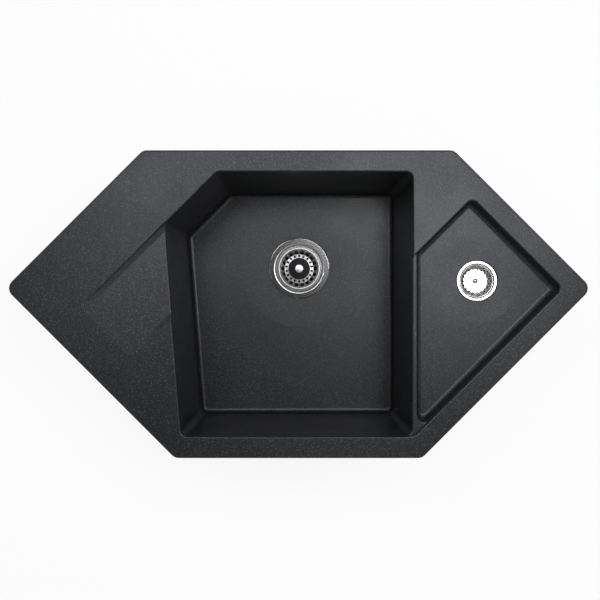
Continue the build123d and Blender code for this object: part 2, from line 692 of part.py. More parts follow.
def basket_cup(waste):
    """Strainer cup: a rim over the dish's ledge, a perforated cone and a flat middle."""
    rim_r = waste.ledge_r - CUP_RIM_CLEAR
    rim_z = CUP_T + SEAT_CLEAR - waste.ledge_drop
    cone_top_r = waste.tube_r - CUP_CONE_CLEAR
    path = [(rim_r, rim_z), (cone_top_r, rim_z), (waste.cup_floor_r, -waste.cup_drop)]
    bends = [CUP_T * 1.5, CUP_T * 1.5]
    bore_r = waste.stem_r + RUN_CLEAR
    if waste.disc_rise:
        path.append((waste.disc_r, waste.disc_top))
        bends.append(CUP_T * 1.25)
    path.append((bore_r, waste.disc_top))
    cup = pressed(path, bends, CUP_T)
    cup += tube(bore_r + BUSH_WALL, bore_r, waste.disc_top - CUP_T - BUSH_H, waste.disc_top - CUP_T)

    through = waste.cup_drop + CUP_T + SEAT_CLEAR
    pitch = 360 / CUP_HOLES
    if waste.disc_rise:
        slot = RectangleRounded(MAIN_SLOT_L, MAIN_SLOT_W, MAIN_SLOT_L / 4)
        cuts = ring_of(slot, waste.cup_floor_r + MAIN_SLOT_OUT, CUP_HOLES)
        ring_r = (waste.cup_floor_r + waste.disc_r) / 2
        perforation = RectangleRounded(MAIN_PERF_L, MAIN_PERF_W, MAIN_PERF_W / 4)
        cuts += ring_of(perforation, ring_r, CUP_HOLES, pitch / 2)
    else:
        slot = RectangleRounded(SMALL_SLOT_L, SMALL_SLOT_W, SMALL_SLOT_L / 4)
        cuts = ring_of(Circle(SMALL_PERF_R), waste.cup_floor_r - SMALL_PERF_IN, CUP_HOLES)
        for row, out in enumerate(SMALL_SLOT_OUT, 1):
            cuts += ring_of(slot, waste.cup_floor_r + out, CUP_HOLES, row * pitch / 2)
    return cup - Pos(0, 0, -through) * extrude(cuts, through)


def knob(waste):
    """Round pull on top of the stem, with a narrow foot and a domed head."""
    foot = waste.disc_top + SEAT_CLEAR
    head, waist = waste.knob_r, (waste.knob_r + waste.stem_r) / 2
    top = foot + waste.knob_h
    profile = [
        (0, foot),
        (waist, foot),
        (waist, foot + waste.knob_h * KNOB_WAIST_H),
        (head, foot + waste.knob_h * KNOB_SHOULDER_H),
        (head, top),
        (0, top),
    ]
    soft = waste.knob_h * KNOB_SOFT_R
    dome = Pos(0, 0, top - waste.knob_dome_r) * Sphere(waste.knob_dome_r)
    pull = turned(profile, [0, 0, soft, soft, 0, 0]) & dome
    return pull - rod(waste.stem_r, foot, foot + waste.knob_h * KNOB_SEAT_H)


def stem(waste):
    """Stem from the knob down to the bolt's socket, with the collar that carries the basket."""
    head_top = waste.bolt_head_h - waste.depth
    knob_seat = waste.disc_top + SEAT_CLEAR + waste.knob_h * KNOB_SEAT_H
    shaft = rod(waste.stem_r, head_top - SOCKET_DEPTH, knob_seat)
    return shaft + rod(waste.stem_r + BUSH_WALL, waste.collar_top - COLLAR_H, waste.collar_top)


def stopper(waste):
    """Rubber bell under the basket that covers the holes in the dish's floor."""
    top = waste.collar_top - COLLAR_H
    seat = SEAT_CLEAR - waste.depth
    ceiling = waste.bolt_head_h - waste.depth + STOPPER_OVER_BOLT
    profile = [
        (waste.stem_r, top),
        (waste.stem_r + STOPPER_TOP_W, top),
        (waste.stopper_r, seat + STOPPER_LIP_H),
        (waste.stopper_r, seat),
        (waste.stopper_r - STOPPER_LIP_W, seat),
        (waste.bolt_head_r + STOPPER_ROUND_BOLT, ceiling),
        (waste.stem_r, ceiling),
    ]
    return turned(profile, [0, STOPPER_SOFT_R, STOPPER_SOFT_R, 0, 0, STOPPER_SOFT_R, 0])


def waste_nodes(waste):
    """Every piece of one waste, by name, in its place under the bowl."""
    makers = {
        "dish": dish,
        "flange_seal": flange_seal,
        "gasket": gasket,
        "waste_body": waste_body,
        "fixing_bolt": fixing_bolt,
        "basket_cup": basket_cup,
        "knob": knob,
        "stem": stem,
        "stopper": stopper,
    }
    return {f"{waste.name}_{piece}": waste.place(make(waste)) for piece, make in makers.items()}


# ---------------------------------------------------------------- worktop clips
def claw():
    """Pressed claw pointing along +X from its screw, with a tip that bites the worktop."""
    reach = CLIP_INSET - CLAW_EDGE_GAP
    low = -WORKTOP_T - CLAW_TIP_H
    plan = Circle(CLAW_HUB_R) + Pos(reach / 2, 0) * Rectangle(reach, CLAW_W)
    plate = Pos(0, 0, low) * extrude(plan, CLAW_T)
    tip_x = reach - CLAW_TIP_W / 2
    tip = Pos(tip_x, 0, low) * extrude(Rectangle(CLAW_TIP_W, CLAW_W), CLAW_TIP_H)
    notch = Pos(tip_x, 0, -WORKTOP_T) * Rot(0, 90, 0) * Cylinder(CLAW_NOTCH_R, 2 * CLAW_TIP_W)
    return plate + tip - notch - rod(SCREW_R + RUN_CLEAR, low, 0)


def clip_screw():
    """Hexagon screw from the insert down to just below the claw."""
    head_top = -WORKTOP_T - CLAW_TIP_H - SEAT_CLEAR
    shank = rod(SCREW_R, head_top, UNDERSIDE - BOSS_L + INSERT_L - SCREW_TIP_GAP)
    head = Pos(0, 0, head_top - SCREW_HEAD_H) * extrude(RegularPolygon(SCREW_HEAD_R, 6), SCREW_HEAD_H)
    return shank + head


def clip_insert():
    """Threaded brass insert, flush with the end of its boss."""
    low = UNDERSIDE - BOSS_L
    return tube(INSERT_R, SCREW_R + RUN_CLEAR, low, low + INSERT_L)


def clip_nodes():
    """One node per claw, and one node each for all the screws and all the inserts."""
    nodes = {}
    places = []
    for name, x, y, outward in clip_spots():
        place = Pos(x, y, 0) * Rot(0, 0, outward)
        nodes[f"clip_claw_{name}"] = place * claw()
        places.append(place)
    nodes["clip_screws"] = Compound(children=[place * clip_screw() for place in places])
    nodes["clip_inserts"] = Compound(children=[place * clip_insert() for place in places])
    return nodes


def main():
    """Builds every node and writes one STEP file for each."""
    os.makedirs("parts", exist_ok=True)
    nodes = {"sink_body": sink_body(), "rim_seal": rim_seal()}
    for waste in (MAIN_WASTE, SMALL_WASTE):
        nodes.update(waste_nodes(waste))
    nodes.update(clip_nodes())
    for name, shape in nodes.items():
        export_step(shape, f"parts/{name}.step")
        print(name, round(shape.volume / 1000, 2), "cm3")


main()
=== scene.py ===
"""Looks of a corner kitchen sink: a stone-composite body, its steel wastes and its worktop clips.

Sizes are metres in the sink's own frame: the origin is the middle of the front edge at worktop
level, X runs right, Y to the back and Z up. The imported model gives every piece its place.
"""

from __future__ import annotations

import json
import logging
import math
from collections.abc import Callable
from dataclasses import dataclass
from typing import Any

import bpy
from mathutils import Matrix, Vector

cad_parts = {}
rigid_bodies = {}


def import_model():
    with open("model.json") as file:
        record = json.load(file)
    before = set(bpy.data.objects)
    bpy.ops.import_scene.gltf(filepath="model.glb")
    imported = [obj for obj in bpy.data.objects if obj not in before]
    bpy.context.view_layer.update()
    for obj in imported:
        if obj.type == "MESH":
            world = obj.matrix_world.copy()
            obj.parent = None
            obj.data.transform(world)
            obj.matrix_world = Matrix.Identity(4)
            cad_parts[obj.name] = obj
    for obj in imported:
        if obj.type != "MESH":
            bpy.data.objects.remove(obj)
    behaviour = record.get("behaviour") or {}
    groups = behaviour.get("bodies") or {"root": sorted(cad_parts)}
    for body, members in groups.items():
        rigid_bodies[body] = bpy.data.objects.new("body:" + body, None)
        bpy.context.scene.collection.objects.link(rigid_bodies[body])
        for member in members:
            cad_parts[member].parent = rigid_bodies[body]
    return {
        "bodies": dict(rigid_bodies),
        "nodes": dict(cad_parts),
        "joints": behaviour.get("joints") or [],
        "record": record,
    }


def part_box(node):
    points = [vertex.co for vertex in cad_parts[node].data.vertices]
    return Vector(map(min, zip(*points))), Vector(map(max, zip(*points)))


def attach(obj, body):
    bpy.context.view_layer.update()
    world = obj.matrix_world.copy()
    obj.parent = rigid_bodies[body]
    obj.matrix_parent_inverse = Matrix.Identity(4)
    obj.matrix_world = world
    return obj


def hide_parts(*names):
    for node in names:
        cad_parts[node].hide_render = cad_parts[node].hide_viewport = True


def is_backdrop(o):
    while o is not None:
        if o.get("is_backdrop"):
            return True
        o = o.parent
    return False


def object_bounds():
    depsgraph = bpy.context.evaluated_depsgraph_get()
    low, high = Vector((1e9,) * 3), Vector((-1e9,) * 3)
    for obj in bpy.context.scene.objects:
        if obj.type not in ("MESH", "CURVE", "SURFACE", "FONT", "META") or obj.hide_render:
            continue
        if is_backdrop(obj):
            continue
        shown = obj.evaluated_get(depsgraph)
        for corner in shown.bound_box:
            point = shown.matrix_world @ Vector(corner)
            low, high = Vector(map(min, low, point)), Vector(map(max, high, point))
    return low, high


LOG = logging.getLogger("sink")
MM = 0.001
MERGE_MM = 0.0005  # points nearer than this are one
FLAT_DEG = 0.5  # faces that turn by less are one flat face
SMOOTH_DEG = 35.0  # edges that turn by less are shaded smooth
NOISE_SPAN = (0.3, 0.7)  # between these lie nearly all of a noise's values


# ------------------------------------------------------------------ small helpers
def linear(colour: str) -> tuple[float, float, float, float]:
    """Turns an sRGB hex colour into Blender's linear one.

    Args:
        colour: Six hex digits with a leading hash.

    Returns:
        Red, green, blue and alpha.
    """
    channels = [int(colour[i : i + 2], 16) / 255 for i in (1, 3, 5)]
    scene = [c / 12.92 if c <= 0.04045 else ((c + 0.055) / 1.055) ** 2.4 for c in channels]
    return (*scene, 1.0)


def add_node(
    tree: bpy.types.NodeTree,
    kind: str,
    settings: dict[str, Any] | None = None,
    inputs: dict[str | int, Any] | None = None,
) -> bpy.types.Node:
    """Adds a shader node, sets its properties and fills its inputs.

    Args:
        tree: Tree that the node goes into.
        kind: Blender's name of the node type.
        settings: Property values.
        inputs: Values, or output sockets to link from, by input name or place.

    Returns:
        The new node.
    """
    node = tree.nodes.new(kind)
    for name, value in (settings or {}).items():
        setattr(node, name, value)
    for name, value in (inputs or {}).items():
        if isinstance(value, bpy.types.NodeSocket):
            tree.links.new(value, node.inputs[name])
        else:
            node.inputs[name].default_value = value
    return node


def new_material(name: str) -> tuple[bpy.types.Material, bpy.types.NodeTree]:
    """Makes an empty node material.

    Args:
        name: Name of the finish.

    Returns:
        The material and its node tree.
    """
    material = bpy.data.materials.new(name)
    material.use_nodes = True
    material.node_tree.nodes.clear()
    return material, material.node_tree


def finish_surface(tree: bpy.types.NodeTree, surface: bpy.types.NodeSocket) -> None:
    """Links a shader to the material's output."""
    add_node(tree, "ShaderNodeOutputMaterial", inputs={"Surface": surface})


def maths(
    tree: bpy.types.NodeTree,
    operation: str,
    first: bpy.types.NodeSocket | float,
    second: bpy.types.NodeSocket | float = 0.0,
) -> bpy.types.NodeSocket:
    """Joins one or two numbers by a sum.

    Args:
        tree: Tree that the node goes into.
        operation: Blender's name of the sum.
        first: Its first number or socket.
        second: Its second number or socket.

    Returns:
        The result's socket.
    """
    settings = {"operation": operation}
    return add_node(tree, "ShaderNodeMath", settings, {0: first, 1: second}).outputs[0]


def colour_ramp(
    tree: bpy.types.NodeTree,
    factor: bpy.types.NodeSocket,
    stops: list[tuple[float, str]],
) -> bpy.types.NodeSocket:
    """Maps a factor to colours.

    Args:
        tree: Tree that the ramp goes into.
        factor: Socket that drives it.
        stops: Places and sRGB hex colours, in order.

    Returns:
        The ramp's colour output.
    """
    ramp = add_node(tree, "ShaderNodeValToRGB", inputs={"Fac": factor})
    elements = ramp.color_ramp.elements
    while len(elements) < len(stops):
        elements.new(0.5)
    for element, (place, colour) in zip(elements, stops):
        element.position = place
        element.color = linear(colour)
    return ramp.outputs["Color"]


def remap(
    tree: bpy.types.NodeTree,
    value: bpy.types.NodeSocket,
    source: tuple[float, float],
    target: tuple[float, float],
) -> bpy.types.NodeSocket:
    """Scales a value from one span to another, held within it.

    Args:
        tree: Tree that the node goes into.
        value: Socket with the value.
        source: Span that comes in.
        target: Span that goes out.

    Returns:
        The result's socket.
    """
    spans = {"Value": value}
    spans.update(zip(("From Min", "From Max", "To Min", "To Max"), (*source, *target)))
    return add_node(tree, "ShaderNodeMapRange", inputs=spans).outputs["Result"]


def spread(middle: float, reach: float) -> tuple[float, float]:
    """The span that reaches equally far to both sides of a value."""
    return middle - reach, middle + reach


def object_place(tree: bpy.types.NodeTree) -> bpy.types.NodeSocket:
    """Place on the piece itself, so that textures move with it."""
    return add_node(tree, "ShaderNodeTexCoord").outputs["Object"]


def noise(
    tree: bpy.types.NodeTree, place: bpy.types.NodeSocket, size_mm: float, detail: float
) -> bpy.types.NodeSocket:
    """Adds a soft random pattern.

    Args:
        tree: Tree that the texture goes into.
        place: Socket with the place of each point.
        size_mm: Size of its blotches.
        detail: How many finer patterns lie over it.

    Returns:
        The pattern's socket.
    """
    inputs = {"Vector": place, "Scale": 1 / (size_mm * MM), "Detail": detail}
    return add_node(tree, "ShaderNodeTexNoise", inputs=inputs).outputs["Fac"]


def bump(
    tree: bpy.types.NodeTree,
    height: bpy.types.NodeSocket,
    strength: float,
    depth_mm: float,
    below: bpy.types.NodeSocket | None = None,
) -> bpy.types.NodeSocket:
    """Adds a relief too fine to model.

    Args:
        tree: Tree that the node goes into.
        height: Pattern that it rises and falls with.
        strength: Share of it that shows.
        depth_mm: Its depth.
        below: Normal of another relief, which it lies on.

    Returns:
        The normal's socket.
    """
    inputs = {"Height": height, "Strength": strength, "Distance": depth_mm * MM}
    if below is not None:
        inputs["Normal"] = below
    return add_node(tree, "ShaderNodeBump", inputs=inputs).outputs["Normal"]


def finish_principled(tree: bpy.types.NodeTree, inputs: dict[str | int, Any]) -> None:
    """Adds the principled shader and makes it the material's surface."""
    shader = add_node(tree, "ShaderNodeBsdfPrincipled", inputs=inputs)
    finish_surface(tree, shader.outputs["BSDF"])


# ------------------------------------------------------------------ finishes
@dataclass(frozen=True)
class QuartzComposite:
    """Quartz sand cast in black acrylic resin: dead matt, with grains that catch the light."""

    resin: str = "#17181a"
    grain_dark: str = "#0c0d0e"
    grain_light: str = "#56575a"
    dark_until: float = 0.4  # share of the grains that are darker than the resin
    light_from: float = 0.86  # the rest from here on are lighter
    grain_mm: float = 0.9  # drawn coarser than the sand's 0.3 mm, so that it shows
    grain_depth_mm: float = 0.12
    grain_bump: float = 0.5
    cloud_mm: float = 60.0
    skin_mm: float = 2.2  # orange peel of the mould's skin
    skin_depth_mm: float = 0.1
    skin_bump: float = 0.25
    roughness: float = 0.38
    roughness_reach: float = 0.03
    ior: float = 1.5

    def build(self) -> bpy.types.Material:
        """Makes the material."""
        material, tree = new_material("quartz_composite")
        place = object_place(tree)
        grain = add_node(
            tree,
            "ShaderNodeTexVoronoi",
            inputs={"Vector": place, "Scale": 1 / (self.grain_mm * MM)},
        ).outputs
        shade = add_node(tree, "ShaderNodeSeparateColor", inputs={0: grain["Color"]})
        stops = [
            (0.0, self.grain_dark),
            (self.dark_until, self.resin),
            (self.light_from, self.resin),
            (1.0, self.grain_light),
        ]
        cloud = noise(tree, place, self.cloud_mm, detail=4.0)
        matt = spread(self.roughness, self.roughness_reach)
        skin = noise(tree, place, self.skin_mm, detail=3.0)
        peel = bump(tree, skin, self.skin_bump, self.skin_depth_mm)
        grit = bump(tree, grain["Distance"], self.grain_bump, self.grain_depth_mm, peel)
        finish_principled(
            tree,
            {
                "Base Color": colour_ramp(tree, shade.outputs[0], stops),
                "Roughness": remap(tree, cloud, NOISE_SPAN, matt),
                "IOR": self.ior,
                "Normal": grit,
            },
        )
        return material


@dataclass(frozen=True)
class Zone:
    """A ring of one finish on a spun piece, by its radii."""

    inner_mm: float
    outer_mm: float
    roughness: float


@dataclass(frozen=True)
class SpunSteel:
    """Stainless steel pressed on a lathe: satin as it leaves the press, buffed bright in rings."""

    name: str
    centre: tuple[float, float]
    colour: str = "#d2d1ce"
    satin: float = 0.36
    satin_reach: float = 0.04
    buffed: tuple[Zone, ...] = ()
    ring_mm: float = 0.8  # lathe marks, drawn wide enough to show
    ring_depth_mm: float = 0.01
    ring_bump: float = 0.3
    smear_mm: float = 9.0
    zone_edge_mm: float = 0.3

    def build(self) -> bpy.types.Material:
        """Makes the material."""
        material, tree = new_material(self.name)
        place = object_place(tree)
        centred = add_node(
            tree,
            "ShaderNodeMapping",
            {"vector_type": "POINT"},
            {"Vector": place, "Location": (-self.centre[0], -self.centre[1], 0.0)},
        ).outputs["Vector"]
        flat = add_node(
            tree,
            "ShaderNodeVectorMath",
            {"operation": "MULTIPLY"},
            {0: centred, 1: (1.0, 1.0, 0.0)},
        ).outputs["Vector"]
        radius = add_node(
            tree, "ShaderNodeVectorMath", {"operation": "LENGTH"}, {0: flat}
        ).outputs["Value"]
        smear = noise(tree, place, self.smear_mm, detail=3.0)
        rough = remap(tree, smear, NOISE_SPAN, spread(self.satin, self.satin_reach))
        dull: bpy.types.NodeSocket | float = 1.0
        for zone in self.buffed:
            within = self._ring(tree, radius, zone)
            without = maths(tree, "SUBTRACT", 1.0, within)
            rough = maths(
                tree,
                "ADD",
                maths(tree, "MULTIPLY", rough, without),
                maths(tree, "MULTIPLY", within, zone.roughness),
            )
            dull = maths(tree, "MULTIPLY", dull, without)
        turns = maths(tree, "MULTIPLY", radius, math.tau / (self.ring_mm * MM))
        marks = maths(tree, "MULTIPLY", maths(tree, "SINE", turns), dull)
        finish_principled(
            tree,
            {
                "Base Color": linear(self.colour),
                "Metallic": 1.0,
                "Roughness": rough,
                "Normal": bump(tree, marks, self.ring_bump, self.ring_depth_mm),
            },
        )
        return material

    def _ring(
        self, tree: bpy.types.NodeTree, radius: bpy.types.NodeSocket, zone: Zone
    ) -> bpy.types.NodeSocket:
        """1 within a zone and 0 outside it.

        Args:
            tree: The material's tree.
            radius: Distance from the axis.
            zone: The ring.

        Returns:
            The mask's socket.
        """
        inner = spread(zone.inner_mm * MM, self.zone_edge_mm * MM)
        outer = spread(zone.outer_mm * MM, self.zone_edge_mm * MM)
        starts = remap(tree, radius, inner, (0.0, 1.0))
        ends = remap(tree, radius, outer, (1.0, 0.0))
        return maths(tree, "MULTIPLY", starts, ends)


@dataclass(frozen=True)
class PlatedMetal:
    """Turned or stamped metal with a thin plating: soft gloss, faintly blotched."""

    name: str
    colour: str
    tarnish: str
    roughness: float
    tarnish_matt: float = 0.08  # how much rougher the blotches are
    tarnish_span: tuple[float, float] = (0.35, 0.6)
    blotch_mm: float = 4.0

    def build(self) -> bpy.types.Material:
        """Makes the material."""
        material, tree = new_material(self.name)
        blotch = noise(tree, object_place(tree), self.blotch_mm, detail=4.0)
        stops = list(zip(self.tarnish_span, (self.tarnish, self.colour)))
        gloss = (self.roughness + self.tarnish_matt, self.roughness)
        finish_principled(
            tree,
            {
                "Base Color": colour_ramp(tree, blotch, stops),
                "Metallic": 1.0,
                "Roughness": remap(tree, blotch, NOISE_SPAN, gloss),
            },
        )
        return material


@dataclass(frozen=True)
class MouldedSkin:
    """Moulded rubber, foam or plastic: one colour with a fine cast texture."""

    name: str
    colour: str
    shade: str
    roughness: float
    texture_mm: float
    relief_mm: float
    relief_bump: float = 0.4
    shade_span: tuple[float, float] = (0.35, 0.65)
    ior: float = 1.5

    def build(self) -> bpy.types.Material:
        """Makes the material."""
        material, tree = new_material(self.name)
        texture = noise(tree, object_place(tree), self.texture_mm, detail=4.0)
        stops = list(zip(self.shade_span, (self.shade, self.colour)))
        finish_principled(
            tree,
            {
                "Base Color": colour_ramp(tree, texture, stops),
                "Roughness": self.roughness,
                "IOR": self.ior,
                "Normal": bump(tree, texture, self.relief_bump, self.relief_mm),
            },
        )
        return material


# ------------------------------------------------------------------ studio
@dataclass(frozen=True)
class Softbox:
    """One rectangular lamp with an even face."""

    name: str
    place: tuple[float, float, float]
    aim: tuple[float, float, float]
    width: float
    height: float
    radiance: float
    tint: str = "#f6f8ff"

    def build(self) -> None:
        """Hangs the lamp in the scene, out of the camera's sight."""
        data = bpy.data.lights.new(self.name, "AREA")
        data.shape = "RECTANGLE"
        data.size, data.size_y = self.width, self.height
        data.energy = self.radiance * math.pi * self.width * self.height
        data.color = linear(self.tint)[:3]
        lamp = bpy.data.objects.new(self.name, data)
        lamp.location = self.place
        lean = Vector(self.place) - Vector(self.aim)
        lamp.rotation_euler = lean.to_track_quat("Z", "Y").to_euler()
        lamp.visible_camera = False
        bpy.context.scene.collection.objects.link(lamp)


@dataclass(frozen=True)
class Studio:
    """Camera, lamps, the pale floor and the room round them."""

    camera_x: float = 2.6 * MM
    camera_y: float = 256.8 * MM
    camera_z: float = 1239 * MM
    lens_mm: float = 45.5
    sensor_mm: float = 36.0
    floor_half: float = 6.0
    floor_colour: str = "#f2f2f2"
    floor_glow: float = 0.88
    shadow_share: float = 0.16
    room_overhead: float = 0.04
    room_side: float = 0.56
    ceiling_edge: tuple[float, float] = (0.62, 0.82)  # heights between which the room dims
    camera_way: tuple[float, float, float] = (0.0, 0.042, 1.0)  # from the sink to the camera
    camera_patch_deg: tuple[float, float] = (8.0, 5.0)  # edges of the camera's dark patch
    camera_shade: float = 0.05  # the light that is left in it
    # name, place, what it faces, width, height and radiance
    softboxes: tuple[Softbox, ...] = (
        Softbox("back_left", (-0.5, 0.8, 1.6), (-0.05, 0.28, 0.0), 0.5, 0.5, 7.0),
        Softbox("back_middle", (0.3, 0.8, 1.6), (0.1, 0.28, 0.0), 0.5, 0.5, 6.2),
        Softbox("right", (0.5, 0.45, 1.6), (0.15, 0.28, 0.0), 0.45, 0.45, 8.2),
        Softbox("far_right", (0.95, 0.5, 1.6), (0.24, 0.28, 0.0), 0.4, 0.4, 3.9),
        Softbox("left", (-0.8, 0.3, 1.6), (-0.1, 0.28, 0.0), 0.4, 0.4, 1.7),
        Softbox("front", (0.1, -0.4, 1.6), (0.07, 0.28, 0.0), 0.4, 0.4, 1.4),
    )

    def build(self, floor_z: float) -> None:
        """Makes the camera, the lamps, the floor and the world.

        Args:
            floor_z: Height of the floor.
        """
        self._camera()
        for softbox in self.softboxes:
            softbox.build()
        self._floor(floor_z)
        self._room()
        bpy.context.scene.view_settings.view_transform = "Standard"

    def _camera(self) -> None:
        """A camera that looks straight down on the sink."""
        data = bpy.data.cameras.new("camera")
        data.lens = self.lens_mm
        data.sensor_width = self.sensor_mm
        camera = bpy.data.objects.new("camera", data)
        camera.location = (self.camera_x, self.camera_y, self.camera_z)
        bpy.context.scene.collection.objects.link(camera)
        bpy.context.scene.camera = camera

    def _floor(self, floor_z: float) -> None:
        """A pale floor, white to the camera and clear from below, that keeps the sink's shadow.

        Args:
            floor_z: Its height.
        """
        bpy.ops.object.select_all(action="DESELECT")
        bpy.ops.mesh.primitive_plane_add(size=2 * self.floor_half, location=(0, 0, floor_z))
        floor = bpy.context.object
        floor.name = "floor"
        bpy.ops.object.transform_apply(location=True, rotation=True, scale=True)
        material, tree = new_material("studio_floor")
        matt = add_node(tree, "ShaderNodeBsdfDiffuse", inputs={"Color": linear(self.floor_colour)})
        faint = add_node(
            tree, "ShaderNodeBsdfDiffuse", inputs={"Color": (*[self.shadow_share] * 3, 1.0)}
        )
        glow = add_node(
            tree, "ShaderNodeEmission", inputs={"Color": (1, 1, 1, 1), "Strength": self.floor_glow}
        )
        lit = add_node(
            tree,
            "ShaderNodeAddShader",
            inputs={0: faint.outputs["BSDF"], 1: glow.outputs["Emission"]},
        )
        surface = add_node(
            tree,
            "ShaderNodeMixShader",
            inputs={0: seen_rays(tree), 1: matt.outputs["BSDF"], 2: lit.outputs["Shader"]},
        )
        below = add_node(tree, "ShaderNodeNewGeometry").outputs["Backfacing"]
        camera = add_node(tree, "ShaderNodeLightPath").outputs["Is Camera Ray"]
        clear = add_node(tree, "ShaderNodeBsdfTransparent")
        shown = add_node(
            tree,
            "ShaderNodeMixShader",
            inputs={
                0: maths(tree, "MULTIPLY", below, camera),
                1: surface.outputs["Shader"],
                2: clear.outputs["BSDF"],
            },
        )
        finish_surface(tree, shown.outputs["Shader"])
        floor.data.materials.append(material)
        floor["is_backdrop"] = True

    def _room(self) -> None:
        """A pale room with a dimmer ceiling, and the camera's own dark patch straight above."""
        world = bpy.data.worlds.new("room")
        world.use_nodes = True
        tree = world.node_tree
        tree.nodes.clear()
        way = add_node(tree, "ShaderNodeTexCoord").outputs["Generated"]
        height = add_node(tree, "ShaderNodeSeparateXYZ", inputs={0: way}).outputs["Z"]
        ceiling = remap(tree, height, self.ceiling_edge, (self.room_side, self.room_overhead))
        patch = add_node(
            tree,
            "ShaderNodeVectorMath",
            {"operation": "DOT_PRODUCT"},
            {0: way, 1: Vector(self.camera_way).normalized()},
        ).outputs["Value"]
        outer, inner = (math.cos(math.radians(angle)) for angle in self.camera_patch_deg)
        shade = remap(tree, patch, (outer, inner), (1.0, self.camera_shade))
        path = add_node(tree, "ShaderNodeLightPath").outputs["Is Camera Ray"]
        strength = maths(tree, "MAXIMUM", maths(tree, "MULTIPLY", ceiling, shade), path)
        room = add_node(
            tree, "ShaderNodeBackground", inputs={"Color": (1, 1, 1, 1), "Strength": strength}
        )
        add_node(tree, "ShaderNodeOutputWorld", inputs={"Surface": room.outputs["Background"]})
        bpy.context.scene.world = world


def seen_rays(tree: bpy.types.NodeTree) -> bpy.types.NodeSocket:
    """1 for camera, glossy and transmission rays, 0 for the rays that carry light.

    Args:
        tree: Tree that the nodes go into.

    Returns:
        The factor's socket.
    """
    path = add_node(tree, "ShaderNodeLightPath").outputs
    mirrored = maths(tree, "MAXIMUM", path["Is Glossy Ray"], path["Is Transmission Ray"])
    return maths(tree, "MAXIMUM", path["Is Camera Ray"], mirrored)


# ------------------------------------------------------------------ modelling helpers
def activate(piece: bpy.types.Object) -> None:
    """Selects one object alone and makes it the active one."""
    bpy.ops.object.select_all(action="DESELECT")
    piece.select_set(True)
    bpy.context.view_layer.objects.active = piece


def select_points(piece: bpy.types.Object, wanted: Callable[[Vector], bool]) -> None:
    """Enters edit mode with the points chosen by their place selected, and nothing else.

    Args:
        piece: The mesh to edit.
        wanted: Says whether a point at that place is wanted.
    """
    activate(piece)
    bpy.ops.object.mode_set(mode="EDIT")
    bpy.ops.mesh.select_mode(type="VERT")
    bpy.ops.mesh.select_all(action="DESELECT")
    bpy.ops.object.mode_set(mode="OBJECT")
    for point in piece.data.vertices:
        point.select = wanted(point.co)
    bpy.ops.object.mode_set(mode="EDIT")


def apply_modifier(piece: bpy.types.Object, kind: str, settings: dict[str, Any]) -> None:
    """Adds a modifier and applies it at once.

    Args:
        piece: The mesh that it shapes.
        kind: Blender's name of the modifier type.
        settings: Property values.
    """
    activate(piece)
    modifier = piece.modifiers.new(kind.lower(), kind)
    for name, value in settings.items():
        setattr(modifier, name, value)
    bpy.ops.object.modifier_apply(modifier=modifier.name)


def copy_of(node: bpy.types.Object, name: str) -> bpy.types.Object:
    """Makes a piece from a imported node: its loose triangles merged, its flat faces made whole.

    Args:
        node: The node's object, which stays as it is.
        name: The new piece's name.

    Returns:
        The new piece.
    """
    piece = bpy.data.objects.new(name, node.data.copy())
    bpy.context.scene.collection.objects.link(piece)
    activate(piece)
    bpy.ops.object.mode_set(mode="EDIT")
    bpy.ops.mesh.select_all(action="SELECT")
    bpy.ops.mesh.remove_doubles(threshold=MERGE_MM * MM)
    bpy.ops.mesh.customdata_custom_splitnormals_clear()
    bpy.ops.mesh.dissolve_limited(angle_limit=math.radians(FLAT_DEG))
    bpy.ops.object.mode_set(mode="OBJECT")
    return piece


def joined(pieces: list[bpy.types.Object], name: str) -> bpy.types.Object:
    """Joins meshes into the first one.

    Args:
        pieces: The meshes.
        name: Name of the result.

    Returns:
        The one object left.
    """
    activate(pieces[0])
    for piece in pieces[1:]:
        piece.select_set(True)
    bpy.ops.object.join()
    pieces[0].name = name
    return pieces[0]


def dress(piece: bpy.types.Object, material: bpy.types.Material) -> None:
    """Gives all of a piece's slots one material.

    Args:
        piece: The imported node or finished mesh.
        material: Its finish.
    """
    if not piece.data.materials:
        piece.data.materials.append(material)
    for slot in piece.material_slots:
        slot.material = material
    LOG.info("%s: %s", piece.name, material.name)


def settle(piece: bpy.types.Object, body: str, material: bpy.types.Material) -> None:
    """Smooths, dresses and mounts a finished piece.

    Args:
        piece: The finished mesh, in its place.
        body: The body that it rides on.
        material: Its finish.
    """
    activate(piece)
    bpy.ops.object.shade_smooth_by_angle(angle=math.radians(SMOOTH_DEG))
    piece.data.materials.clear()
    dress(piece, material)
    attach(piece, body)


